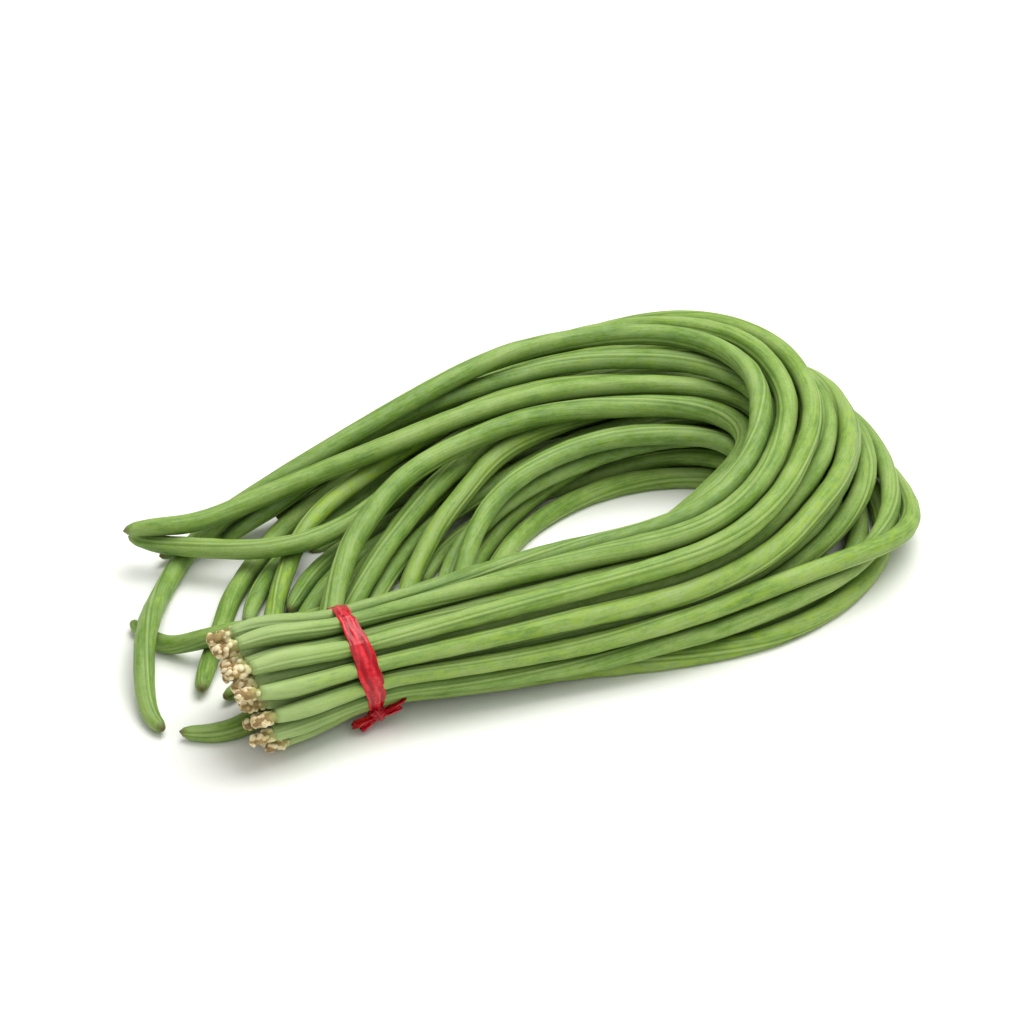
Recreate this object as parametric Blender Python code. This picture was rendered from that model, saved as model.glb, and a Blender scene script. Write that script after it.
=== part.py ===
"""A bunch of yardlong beans, folded over once and tied near the stem ends with a plastic ribbon.

The bunch lies on a flat surface. The working frame is in millimetres: X runs from the tied stem ends
to the fold, Y from the tied strand to the loose strand behind it, and Z up from the surface. The
finished objects are in metres, with the origin under the middle of the whole bunch.
"""

import math
from collections import namedtuple

import bmesh
import bpy
import numpy as np
from mathutils import Vector

MM = 0.001

# Pods: girths are radii, and stretches are lengths along the pod from its stem end or its tip
POD_SIDES = 7
BODY_RADIUS = 3.75
STEM_RADIUS = 3.3
STEM_END_RADIUS = 2.3
TIED_RADIUS = 2.7
TAIL_RADIUS = 3.3
STEM_SHOULDER = 8.0
TIED_STRETCH = 7.0
SWELL_STRETCH = 110.0
TAIL_STRETCH = 110.0
BEAK = ((9.0, 0.92), (3.5, 0.72), (0.0, 0.30))
RINGS_ALONG_BODY = 29

# Rings lie closer together where a pod bends
BEND_DETAIL = 45.0
BEND_SAMPLES = 240
BEND_WINDOW = 9
CURVE_STEPS = 20

# Stalks: the dried bit of flower stalk on each stem end
STALK_SIDES = 6
STALK_LENGTH = 9.0
STALK_REACH = 2.7
STALK_PROFILE = ((0.0, 0.62), (0.22, 0.92), (0.46, 0.60), (0.72, 0.88), (1.0, 0.45))
STALK_JITTER = 0.10

# Gap kept between neighbours, and the seed of the small differences between them
TOUCHING_GAP = 0.3
LAYING_GAP = 0.42
SEED = 24

# Pushing the pods clear: rounds of it, and how each round evens the moves and lets low rings sink
STALK_RINGS = 2
TIED_RINGS = 6
SMOOTH_ROUNDS = 420
CLEAR_ROUNDS = 260
LOOK_EVERY = 6
LOOK_REACH = 5.0
EVENING = 0.4
RESTING_REACH = 1.2
SINKING = 0.10
TIE_REACH = 4.0

# Tie: a ribbon round the stems, its axis leaning a little from the bundle's own
TIE_INSIDE = 18.4
TIE_THICKNESS = 1.0
TIE_WIDTH = 7.0
TIE_WIDTH_SWING = 1.3
TIE_SEGMENTS = 36
TIE_AXIS = Vector((1.0, 0.15, 0.18)).normalized()
TIE_PLACE = (-70.0, -60.0)
TIED_SPREAD = 0.76
KNOT_ANGLE = math.radians(133)
KNOT_RADII = (4.6, 3.4, 3.0)
KNOT_SINK = 0.28
TAIL_THICKNESS = 1.3
RIBBON_FACING = Vector((0.0, -0.5, 0.85))
RIBBON_LIFT = 0.2
RIBBON_TAILS = (
    ((-66, -78, 4), (-71, -80, 3), (-77, -82, 2.2)),
    ((-64, -78, 4.5), (-58, -81, 5), (-53, -82, 7)),
)
RIBBON_TAIL_WIDTHS = (4.0, 4.4, 3.0)

POD_GREEN = (0.27, 0.42, 0.10, 1.0)
STALK_TAN = (0.55, 0.38, 0.17, 1.0)
TIE_RED = (0.72, 0.02, 0.03, 1.0)

# The tied strand: x, middle across, middle height and spread of the slots at each station
Station = namedtuple("Station", "x across height spread")
STEM_STATION = Station(-104.0, -68.0, 22.0, 0.92)
NEAR_STATION = Station(-28.0, -53.0, 20.0, 0.88)
FRONT_STATION = Station(14.0, -45.4, 19.2, 0.93)
STEM_SLANT = 0.36
STEM_STAGGER = 2.5

# One pod: its slot across and up in the tied strand, its girth, and its route beyond that strand
Pod = namedtuple("Pod", "slot girth route")
PODS = (
    # Top of the fold, in order from the inner edge outwards
    Pod((6, 16), 1.0, (
        (42, -38, 35), (63, -31, 38), (81, -14, 42), (93, 11, 44), (98, 38, 45), (91, 62, 45),
        (74, 77, 45), (46, 86, 43), (16, 85, 41), (-13, 76, 36), (-42, 66, 29), (-70, 58, 20),
        (-94, 52, 12), (-111, 42, 6), (-122, 24, 4), (-129, 3, 7), (-135, -20, 10),
        (-138, -38, 6), (-139, -51, 3), (-135, -61, 3))),
    Pod((-2.5, 16), 1.03, (
        (39, -46, 35), (60, -41, 38), (79, -26, 42), (92, -5, 44), (102, 18, 44), (105, 42, 44),
        (101, 63, 44), (88, 82, 41), (70, 94, 37), (45, 98, 33), (15, 97, 28), (-15, 91, 21),
        (-42, 82, 13), (-66, 72, 6))),
    Pod((-11, 13), 0.97, (
        (40, -51, 32), (60, -46, 34), (80, -32, 37), (97, -10, 40), (108, 12, 41), (113, 35, 41),
        (112, 57, 42), (105, 75, 42), (93, 90, 41), (75, 100, 38), (52, 104, 33), (22, 104, 27),
        (-10, 99, 18), (-36, 90, 9), (-56, 80, 4))),
    Pod((-9, 5.5), 1.0, (
        (46, -48, 25), (70, -38, 29), (91, -21, 34), (107, -1, 35), (117, 22, 35), (121, 45, 35),
        (117, 67, 34), (104, 85, 31), (82, 93, 27), (50, 93, 23), (15, 88, 19), (-20, 79, 14),
        (-50, 65, 9), (-73, 47, 5), (-88, 24, 4), (-100, 0, 4), (-110, -24, 4), (-119, -43, 4))),
    # Outer side of the fold, from the top down to the surface
    Pod((-17, 7.5), 1.03, (
        (37, -57, 25), (57, -52, 27), (78, -41, 29), (97, -23, 31), (115, -1, 31), (126, 24, 31),
        (130, 48, 30), (126, 69, 28), (112, 88, 24), (87, 100, 20), (55, 103, 18), (15, 98, 14),
        (-22, 86, 8), (-50, 72, 4), (-74, 58, 4))),
    Pod((-12.5, -0.5), 0.98, (
        (32, -52, 18), (60, -46, 19), (83, -34, 21), (102, -19, 22), (117, 0, 23), (129, 20, 23),
        (135, 40, 23), (135, 60, 22), (124, 81, 19), (105, 96, 15), (75, 104, 11), (38, 105, 9),
        (2, 99, 7), (-28, 90, 4))),
    Pod((-11.5, -8), 1.0, (
        (32, -53, 11), (58, -46, 12), (83, -32, 14), (103, -19, 15), (120, -3, 16), (132, 15, 17),
        (138, 34, 17), (140, 54, 15), (134, 76, 11), (116, 93, 9), (85, 100, 11), (50, 98, 11),
        (12, 92, 10), (-14, 84, 8))),
    Pod((-19, -10.5), 0.94, (
        (32, -60, 11), (60, -54, 11), (83, -48, 12), (106, -38, 12), (123, -24, 12), (135, -7, 12),
        (141, 13, 12), (143, 35, 11), (142, 57, 9), (135, 79, 6), (117, 97, 4), (88, 105, 4),
        (50, 108, 4), (14, 102, 4), (-12, 94, 4))),
    Pod((-20.5, -2), 0.93, (
        (22, -64, 19), (44, -60, 20), (63, -54, 21), (82, -47, 21), (102, -40, 21), (121, -30, 19),
        (134, -14, 15), (140, 4, 12), (142, 24, 9), (142, 48, 5), (137, 72, 4), (120, 90, 4),
        (90, 98, 4), (50, 99, 4), (10, 92, 4), (-26, 81, 4), (-50, 70, 4))),
    # Along the surface on the outer side
    Pod((-15.5, -16), 0.97, (
        (25, -61, 4), (48, -61, 4), (70, -59, 4), (92, -51, 4), (112, -38, 4), (128, -20, 4),
        (137, 0, 4), (141, 23, 4), (140, 46, 4), (130, 69, 4), (111, 84, 4), (82, 90, 4),
        (45, 91, 4), (8, 84, 4), (-28, 72, 4), (-54, 59, 4), (-76, 48, 4))),
    Pod((-8.5, -15.5), 1.05, (
        (25, -53, 4), (48, -52, 4), (70, -50, 4), (91, -42, 4), (109, -29, 4), (122, -12, 4),
        (130, 9, 4), (133, 32, 4), (130, 54, 4), (120, 71, 4), (98, 81, 4), (60, 83, 4),
        (22, 79, 4), (-12, 68, 4), (-40, 54, 4), (-68, 38, 4))),
    Pod((0, -15.5), 1.0, (
        (26, -46, 4), (51, -44, 5), (77, -35, 6), (99, -20, 8), (113, -4, 9), (121, 14, 8),
        (123, 37, 5), (114, 57, 4), (97, 71, 4), (70, 75, 4), (30, 71, 4),
        (0, 62, 4), (-30, 48, 4), (-54, 33, 4), (-72, 17, 4), (-84, -2, 4))),
    # Inner side of the fold, from the top down to the surface
    Pod((14, 12), 0.97, (
        (42, -30, 29), (62, -21, 33), (81, -5, 37), (95, 13, 38), (100, 32, 37), (96, 50, 37),
        (82, 66, 38), (62, 75, 38), (38, 80, 37), (14, 80, 33), (-8, 80, 29), (-32, 75, 24),
        (-54, 65, 17), (-70, 56, 12), (-84, 51, 9), (-98, 47, 5))),
    Pod((17.5, 5), 1.04, (
        (42, -25, 24), (62, -16, 28), (82, -1, 32), (97, 17, 33), (102, 34, 32), (96, 49, 33),
        (80, 59, 34), (57, 63, 36), (25, 64, 36), (-6, 60, 33), (-32, 55, 28), (-55, 52, 23),
        (-78, 47, 19), (-96, 41, 16), (-112, 37, 15), (-131, 41, 17))),
    Pod((7.5, 6.5), 0.9, (
        (42, -33, 24), (64, -23, 26), (87, -8, 29), (104, 14, 30), (110, 35, 30), (104, 54, 31),
        (86, 67, 32), (60, 72, 33), (28, 73, 34), (0, 71, 29), (-22, 64, 23), (-42, 54, 18),
        (-58, 45, 14), (-69, 35, 11), (-76, 24, 7), (-81, 12, 5), (-86, -2, 4), (-92, -20, 3),
        (-101, -38, 3), (-112, -48, 3))),
    Pod((21, -3), 1.06, (
        (42, -22, 18), (62, -12, 22), (81, 2, 26), (95, 18, 27), (99, 33, 27), (92, 46, 28),
        (77, 54, 29), (56, 57, 30), (33, 58, 31), (12, 56, 30), (-8, 49, 29), (-30, 38, 28),
        (-46, 26, 24), (-58, 14, 20), (-67, 1, 15), (-75, -16, 11), (-84, -38, 4),
        (-94, -55, 3), (-105, -64, 3), (-117, -68, 3), (-129, -64, 3))),
    Pod((8, -1.5), 1.0, (
        (42, -33, 18), (64, -20, 20), (87, -2, 21), (104, 17, 22), (109, 36, 22), (101, 53, 22),
        (82, 61, 23), (58, 62, 24), (39, 60, 24), (19, 54, 23), (3, 46, 21), (-10, 34, 17),
        (-23, 23, 12), (-33, 10, 7), (-40, -2, 4), (-47, -18, 4))),
    Pod((14, -9), 0.98, (
        (42, -27, 11), (64, -14, 14), (84, 1, 17), (97, 18, 18), (101, 34, 18), (93, 47, 18),
        (76, 55, 18), (56, 56, 17), (36, 50, 16), (16, 42, 14), (1, 33, 11), (-13, 22, 7),
        (-22, 9, 4), (-29, -6, 4), (-36, -22, 4))),
    Pod((5.5, -9), 0.95, (
        (42, -36, 11), (66, -23, 11), (89, -5, 12), (105, 15, 12), (110, 34, 12), (104, 51, 12),
        (88, 62, 11), (66, 64, 11), (45, 59, 10), (26, 49, 8), (9, 37, 6), (-3, 24, 4),
        (-13, 8, 4), (-21, -9, 4))),
    Pod((16.5, -15), 0.97, (
        (42, -28, 4), (64, -15, 7), (82, -2, 10), (94, 12, 11), (98, 28, 11), (92, 43, 11),
        (78, 53, 10), (60, 58, 8), (40, 56, 5), (18, 48, 4), (-4, 36, 4), (-22, 22, 4), (-34, 6, 4))),
    Pod((8.5, -15.5), 1.0, (
        (42, -37, 4), (64, -25, 4), (83, -8, 4), (97, 8, 4), (103, 26, 4), (97, 41, 4),
        (82, 51, 4), (60, 54, 4), (41, 50, 4), (23, 41, 4), (8, 29, 4), (-3, 15, 4), (-12, 0, 4),
        (-19, -16, 4))),
    # Inside the strand all the way round the fold
    Pod((-1, 8), 1.0, (
        (46, -39, 26), (70, -29, 30), (90, -10, 31), (104, 12, 32), (111, 36, 32), (107, 60, 32),
        (90, 78, 30), (60, 83, 28), (28, 81, 25), (0, 71, 21), (-24, 54, 17), (-42, 38, 15),
        (-57, 28, 14), (-72, 23, 13), (-88, 25, 12), (-104, 31, 12), (-118, 38, 11),
        (-129, 46, 11))),
    Pod((-3.5, 0), 0.97, (
        (45, -43, 19), (68, -31, 22), (90, -12, 23), (107, 10, 23), (115, 34, 23), (112, 58, 22),
        (94, 76, 20), (62, 80, 18), (30, 76, 17), (4, 66, 15), (-14, 50, 13), (-28, 36, 11),
        (-43, 21, 8), (-55, 8, 5), (-66, -6, 4), (-79, -18, 6), (-94, -25, 10), (-109, -24, 10),
        (-122, -18, 5), (-131, -8, 3), (-135, 4, 3))),
    Pod((-3, -8), 1.02, (
        (42, -45, 11), (66, -34, 14), (90, -17, 14), (109, 6, 14), (119, 32, 13), (114, 56, 12),
        (97, 71, 12), (66, 73, 12), (32, 65, 9), (2, 54, 5), (-26, 40, 4), (-46, 25, 4),
        (-60, 8, 4), (-70, -12, 4), (-80, -30, 4))),
    # Squeezed in between the others, most with a tail underneath the crossing ones
    Pod((14.5, -2.5), 0.95, (
        (42, -28, 19), (63, -16, 22), (83, 1, 24), (98, 18, 25), (104, 34, 26), (97, 50, 25),
        (80, 60, 24), (58, 63, 18), (34, 60, 14), (10, 50, 11), (-12, 38, 9), (-30, 24, 8),
        (-44, 8, 6), (-54, -8, 4), (-62, -24, 4))),
    Pod((22.5, -10), 1.0, (
        (42, -19, 9), (62, -9, 14), (79, 5, 18), (91, 20, 20), (95, 34, 21), (88, 45, 21),
        (72, 50, 22), (52, 51, 23), (32, 47, 22), (12, 38, 20), (-4, 25, 16), (-14, 10, 12),
        (-21, -6, 9), (-26, -20, 5))),
    Pod((3, 3.5), 1.03, (
        (46, -38, 23), (68, -27, 27), (88, -8, 29), (106, 12, 29), (117, 36, 28), (113, 57, 27),
        (96, 72, 26), (72, 76, 25), (48, 72, 23), (24, 68, 22), (0, 58, 19), (-20, 42, 17),
        (-36, 25, 14), (-50, 8, 10), (-62, -10, 5), (-70, -26, 4))),
    Pod((-7.5, -11.5), 0.98, (
        (40, -48, 9), (64, -40, 11), (88, -26, 12), (108, -10, 12), (121, 10, 12), (129, 34, 12),
        (124, 58, 12), (106, 78, 12), (80, 86, 12), (50, 88, 12), (20, 84, 10), (-6, 76, 8),
        (-32, 62, 6), (-56, 46, 5), (-76, 29, 4), (-90, 11, 4), (-97, -8, 4))),
    Pod((-6, 10.5), 0.96, (
        (42, -45, 29), (64, -37, 32), (85, -22, 36), (101, -1, 37), (111, 20, 37), (114, 42, 37),
        (107, 64, 37), (90, 82, 36), (72, 90, 35), (48, 93, 33), (20, 93, 30), (-10, 87, 24),
        (-38, 74, 17), (-62, 61, 12), (-84, 52, 8), (-103, 45, 5), (-119, 42, 4))),
)


# Curves

def curve_through(points):
    """Points close together on a smooth centripetal curve through the given points."""
    points = np.array(points, float)
    before = 2 * points[0] - points[1]
    after = 2 * points[-1] - points[-2]
    padded = np.vstack((before, points, after))
    share = np.linspace(0.0, 1.0, CURVE_STEPS, endpoint=False)[:, None]
    stretches = []
    for p0, p1, p2, p3 in zip(padded, padded[1:], padded[2:], padded[3:]):
        t1 = math.sqrt(np.linalg.norm(p1 - p0))
        t2 = t1 + math.sqrt(np.linalg.norm(p2 - p1))
        t3 = t2 + math.sqrt(np.linalg.norm(p3 - p2))
        t = t1 + (t2 - t1) * share
        a1 = p0 + (p1 - p0) * t / t1
        a2 = p1 + (p2 - p1) * (t - t1) / (t2 - t1)
        a3 = p2 + (p3 - p2) * (t - t2) / (t3 - t2)
        b1 = a1 + (a2 - a1) * t / t2
        b2 = a2 + (a3 - a2) * (t - t1) / (t3 - t1)
        stretches.append(b1 + (b2 - b1) * (t - t1) / (t2 - t1))
    return np.vstack(stretches + [points[-1:]])


def distances_along(points):
    """Distance along a line of points, from its first one to each."""
    steps = np.linalg.norm(np.diff(points, axis=0), axis=1)
    return np.concatenate(([0.0], np.cumsum(steps)))


def points_at(points, along, places):
    """Points of a line at the given distances along it."""
    return np.stack([np.interp(places, along, points[:, axis]) for axis in range(3)], axis=1)


# Laying out the pods

def slot_point(pod, station):
    """Middle of a pod where its slot passes a station of the tied strand."""
    across = station.across + station.spread * pod.slot[0]
    height = station.height + station.spread * pod.slot[1]
    return (station.x, across, height)


def tie_middle():
    """Middle of the tie, as high as leaves its lowest edge on the surface."""
    outside = TIE_INSIDE + TOUCHING_GAP + TIE_THICKNESS
    half_width = (TIE_WIDTH + TIE_WIDTH_SWING) / 2
    lean = math.asin(TIE_AXIS.z)
    return Vector((*TIE_PLACE, outside * math.cos(lean) + half_width * math.sin(lean)))


def whole_route(pod, stagger):
    """Control points of a pod from its stem end to its tip."""
    middle = tie_middle()
    tie_station = Station(middle.x, middle.y, middle.z, TIED_SPREAD)
    stem_x, stem_across, stem_height = slot_point(pod, STEM_STATION)
    stem_x += stagger - STEM_SLANT * pod.slot[1]
    return (
        (stem_x, stem_across, stem_height),
        slot_point(pod, tie_station),
        slot_point(pod, NEAR_STATION),
        slot_point(pod, FRONT_STATION),
    ) + pod.route


def ring_places(curve, along, tied_at):
    """Distances of a pod's rings from its stem end, closer together where it bends."""
    length = along[-1]
    even = np.linspace(0.0, length, BEND_SAMPLES)
    points = points_at(curve, along, even)
    turn = np.gradient(np.gradient(points, even, axis=0), even, axis=0)
    window = np.ones(BEND_WINDOW) / BEND_WINDOW
    bend = np.convolve(np.linalg.norm(turn, axis=1), window, mode="same")
    start = tied_at + TIED_STRETCH
    end = length - BEAK[0][0]
    weight = np.concatenate(([0.0], np.cumsum(1.0 + BEND_DETAIL * bend[:-1]) * even[1]))
    targets = np.linspace(np.interp(start, even, weight), np.interp(end, even, weight),
                          RINGS_ALONG_BODY)
    stem = [0.0, STEM_SHOULDER, tied_at - TIED_STRETCH]
    beak = [length - distance for distance, share in BEAK[1:]]
    return np.concatenate((stem, np.interp(targets, weight, even), beak))


def pod_radii(places, tied_at, girth):
    """Radius of a pod at each ring, from the stem end to the beak."""
    length = places[-1]
    marks = (0.0, STEM_SHOULDER, tied_at - TIED_STRETCH, tied_at + TIED_STRETCH,
             tied_at + SWELL_STRETCH, length - TAIL_STRETCH, length - BEAK[0][0])
    sizes = (STEM_END_RADIUS, STEM_RADIUS, TIED_RADIUS, TIED_RADIUS,
             BODY_RADIUS * girth, BODY_RADIUS * girth, TAIL_RADIUS * girth)
    radii = np.interp(places, marks, sizes)
    for ring, (distance, share) in enumerate(BEAK, start=-len(BEAK)):
        radii[ring] = TAIL_RADIUS * girth * share
    return radii


def lay_out(rng):
    """Centres and radii of every pod's rings, with two more in front for its stalk."""
    centres = []
    radii = []
    for pod in PODS:
        curve = curve_through(whole_route(pod, rng.uniform(-STEM_STAGGER, STEM_STAGGER)))
        along = distances_along(curve)
        strand = slice(0, 3 * CURVE_STEPS)
        depth = (curve[strand] - np.array(tie_middle())) @ np.array(TIE_AXIS)
        tied_at = np.interp(0.0, depth, along[strand])
        places = ring_places(curve, along, tied_at)
        line = points_at(curve, along, places)
        outward = (line[0] - line[2]) / np.linalg.norm(line[0] - line[2])
        stalk = [line[0] + outward * reach for reach in (STALK_LENGTH, STALK_LENGTH / 2)]
        centres.append(np.vstack((stalk, line)))
        stalk_radii = (STALK_REACH, STALK_REACH)
        radii.append(np.concatenate((stalk_radii, pod_radii(places, tied_at, pod.girth))))
    return np.array(centres), np.array(radii)


# Pushing the pods clear of each other

def nearby_stretches(centres, radii):
    """Pairs of stretches between rings that lie close enough to touch."""
    pods, rings, _ = centres.shape
    middle = ((centres[:, :-1] + centres[:, 1:]) / 2).reshape(-1, 3)
    half = np.linalg.norm(centres[:, 1:] - centres[:, :-1], axis=2).reshape(-1) / 2
    thick = np.maximum(radii[:, :-1], radii[:, 1:]).reshape(-1)
    pod = np.repeat(np.arange(pods), rings - 1)
    ring = np.tile(np.arange(rings - 1), pods)
    reach = (half + thick)[:, None] + (half + thick)[None, :] + LOOK_REACH
    apart = np.linalg.norm(middle[:, None, :] - middle[None, :, :], axis=2)
    same = (pod[:, None] == pod[None, :]) & (abs(ring[:, None] - ring[None, :]) < 4)
    first, second = np.nonzero(np.triu(apart < reach, 1) & ~same)
    return pod[first] * rings + ring[first], pod[second] * rings + ring[second]


def closest_shares(p0, p1, q0, q1):
    """Where along two straight stretches they come closest, as shares of their lengths."""
    d1, d2, gap = p1 - p0, q1 - q0, p0 - q0
    a, e = (d1 * d1).sum(1), (d2 * d2).sum(1)
    b, c, f = (d1 * d2).sum(1), (d1 * gap).sum(1), (d2 * gap).sum(1)
    spread = np.maximum(a * e - b * b, 1e-9)
    s = np.clip((b * f - c * e) / spread, 0.0, 1.0)
    t = np.clip((b * s + f) / e, 0.0, 1.0)
    s = np.clip((b * t - c) / a, 0.0, 1.0)
    return s[:, None], t[:, None]


def crowding(flat, thick, first, second):
    """Push on each ring centre from every pair of stretches that is too close, and their gaps."""
    p0, p1, q0, q1 = flat[first], flat[first + 1], flat[second], flat[second + 1]
    s, t = closest_shares(p0, p1, q0, q1)
    across = (p0 + (p1 - p0) * s) - (q0 + (q1 - q0) * t)
    distance = np.maximum(np.linalg.norm(across, axis=1, keepdims=True), 1e-6)
    room = thick[first] * (1 - s[:, 0]) + thick[first + 1] * s[:, 0]
    room = room + thick[second] * (1 - t[:, 0]) + thick[second + 1] * t[:, 0]
    gap = distance - room[:, None]
    short = np.maximum(LAYING_GAP - gap, 0.0)
    evenness = (1 - s) ** 2 + s ** 2 + (1 - t) ** 2 + t ** 2
    push = across / distance * short / evenness
    moves = np.zeros_like(flat)
    counts = np.zeros(len(flat))
    pressed = (short[:, 0] > 0).astype(float)
    for index, share in ((first, 1 - s), (first + 1, s), (second, t - 1), (second + 1, -t)):
        np.add.at(moves, index, push * share)
        np.add.at(counts, index, pressed * abs(share[:, 0]))
    return moves / np.maximum(counts, 1.0)[:, None], gap.min()


def hold_in_tie(centres, radii):
    """Keep the tied rings inside the tie and every other ring outside it."""
    middle = np.array(tie_middle())
    axis = np.array(TIE_AXIS)
    offset = centres - middle
    depth = offset @ axis
    radial = offset - depth[..., None] * axis
    distance = np.maximum(np.linalg.norm(radial, axis=2), 1e-6)
    tied = np.zeros(radii.shape, bool)
    tied[:, STALK_RINGS + 1:TIED_RINGS] = True
    near = abs(depth) < TIED_STRETCH + TIE_REACH
    inside = TIE_INSIDE - radii
    outside = TIE_INSIDE + TIE_THICKNESS + 2 * TOUCHING_GAP + radii
    wanted = np.where(tied & near, np.minimum(distance, inside), distance)
    wanted = np.where(~tied & (abs(depth) < TIE_WIDTH) & (distance > TIE_INSIDE / 2),
                      np.maximum(wanted, outside), wanted)
    return centres + radial * (wanted / distance - 1)[..., None]


def push_clear(centres, radii):
    """Move the rings apart until no two pods touch, and rest the lowest on the surface."""
    planned = centres.copy()
    resting = radii * math.cos(math.pi / POD_SIDES)
    low = planned[..., 2] < resting + RESTING_REACH
    thick = radii.reshape(-1)
    for step in range(SMOOTH_ROUNDS + CLEAR_ROUNDS):
        if step % LOOK_EVERY == 0:
            first, second = nearby_stretches(centres, radii)
        moves, _ = crowding(centres.reshape(-1, 3), thick, first, second)
        centres = centres + moves.reshape(centres.shape)
        if step < SMOOTH_ROUNDS:
            moved = centres - planned
            even = (moved[:, :-2] + moved[:, 2:]) / 2 - moved[:, 1:-1]
            centres[:, 1:-1] += EVENING * (1 - step / SMOOTH_ROUNDS) * even
            sink = np.where(low, centres[..., 2] - resting, 0.0)
            centres[..., 2] -= SINKING * np.maximum(sink, 0.0)
        centres = hold_in_tie(centres, radii)
        centres[..., 2] = np.maximum(centres[..., 2], resting)
    return centres


# Solids

def ring_frame(line, ring):
    """Directions across and up at one ring of a line, square to the line there."""
    before = line[max(ring - 1, 0)]
    after = line[min(ring + 1, len(line) - 1)]
    ahead = Vector(after - before).normalized()
    across = Vector((0.0, 0.0, 1.0)).cross(ahead).normalized()
    return across, ahead.cross(across)


def turned_tube(name, line, radii, sides, material, pointed):
    """A closed tube round a line of ring centres, with one flat side facing straight down."""
    mesh = bmesh.new()
    rings = []
    for index, (centre, radius) in enumerate(zip(line, radii)):
        across, up = ring_frame(line, index)
        ring = []
        for side in range(sides):
            angle = -math.pi / 2 + (side + 0.5) * 2 * math.pi / sides
            spoke = math.cos(angle) * across + math.sin(angle) * up
            spot = Vector(centre) + spoke * float(radius)
            ring.append(mesh.verts.new(spot * MM))
        rings.append(ring)
    for ring, following in zip(rings, rings[1:]):
        for side in range(sides):
            after = (side + 1) % sides
            mesh.faces.new((ring[side], ring[after], following[after], following[side]))
    mesh.faces.new(reversed(rings[0]))
    if pointed:
        ahead = Vector(line[-1] - line[-2]).normalized()
        tip = mesh.verts.new((Vector(line[-1]) + ahead * float(radii[-1])) * MM)
        for side in range(sides):
            mesh.faces.new((rings[-1][side], rings[-1][(side + 1) % sides], tip))
    else:
        mesh.faces.new(rings[-1])
    return new_object(name, mesh, material)


def new_object(name, mesh, material):
    """An object in the scene from a bmesh, smooth except at its sharp edges."""
    bmesh.ops.recalc_face_normals(mesh, faces=mesh.faces)
    data = bpy.data.meshes.new(name)
    mesh.to_mesh(data)
    mesh.free()
    data.shade_smooth()
    data.set_sharp_from_angle(angle=math.radians(60))
    data.materials.append(material)
    thing = bpy.data.objects.new(name, data)
    bpy.context.scene.collection.objects.link(thing)
    return thing


def new_material(name, colour, roughness):
    """A plain surface in one colour."""
    material = bpy.data.materials.new(name)
    material.use_nodes = True
    surface = material.node_tree.nodes["Principled BSDF"]
    surface.inputs["Base Color"].default_value = colour
    surface.inputs["Roughness"].default_value = roughness
    surface.inputs["Metallic"].default_value = 0.0
    return material


def make_stalk(name, line, material, rng):
    """A knobbly dried stalk that leaves the pod's stem end squarely, a small gap beyond it."""
    far_end, _, stem_end, shoulder = (Vector(point) for point in line[:4])
    square = (stem_end - shoulder).normalized()
    outward = (far_end - stem_end).normalized()
    centres = []
    radii = []
    for along, share in STALK_PROFILE:
        reach = TOUCHING_GAP + along * (STALK_LENGTH - TOUCHING_GAP)
        heading = square.lerp(outward, along)
        centres.append(np.array(stem_end + heading * reach))
        radii.append(STALK_REACH * (share + rng.uniform(-STALK_JITTER, 0.0)))
    return turned_tube(name, np.array(centres), radii, STALK_SIDES, material, pointed=False)


# Tie

def tie_frame():
    """Up and frontward directions in the plane of the tie."""
    front = Vector((0.0, 0.0, 1.0)).cross(TIE_AXIS).normalized() * -1
    return TIE_AXIS.cross(front).normalized() * -1, front


def tie_ring(material):
    """The ribbon's turn round the stems, widest at the front."""
    up, front = tie_frame()
    middle = tie_middle()
    inner = (TIE_INSIDE + TOUCHING_GAP) / math.cos(math.pi / TIE_SEGMENTS)
    outer = inner + TIE_THICKNESS
    mesh = bmesh.new()
    rings = []
    for step in range(TIE_SEGMENTS):
        angle = 2 * math.pi * step / TIE_SEGMENTS
        spoke = math.cos(angle) * up + math.sin(angle) * front
        half = (TIE_WIDTH + TIE_WIDTH_SWING * math.sin(angle)) / 2
        corners = ((inner, -half), (outer, -half), (outer, half), (inner, half))
        rings.append([mesh.verts.new((middle + spoke * r + TIE_AXIS * w) * MM) for r, w in corners])
    for step, ring in enumerate(rings):
        following = rings[(step + 1) % TIE_SEGMENTS]
        for corner in range(4):
            after = (corner + 1) % 4
            mesh.faces.new((ring[corner], ring[after], following[after], following[corner]))
    return new_object("tie", mesh, material)


def tie_knot(material):
    """The knot, a small squashed lump on the ribbon's outside, low at the front."""
    up, front = tie_frame()
    spoke = math.cos(KNOT_ANGLE) * up + math.sin(KNOT_ANGLE) * front
    along = TIE_AXIS.cross(spoke)
    reach = TIE_INSIDE + TOUCHING_GAP + TIE_THICKNESS + (1 - KNOT_SINK) * KNOT_RADII[2]
    middle = tie_middle() + spoke * reach
    mesh = bmesh.new()
    bmesh.ops.create_uvsphere(mesh, u_segments=10, v_segments=6, radius=1.0)
    for vert in mesh.verts:
        x, y, z = vert.co
        offset = TIE_AXIS * x * KNOT_RADII[0] + along * y * KNOT_RADII[1] + spoke * z * KNOT_RADII[2]
        vert.co = (middle + offset) * MM
        vert.co.z = max(vert.co.z, RIBBON_LIFT * MM)
    return new_object("knot", mesh, material)


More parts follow.
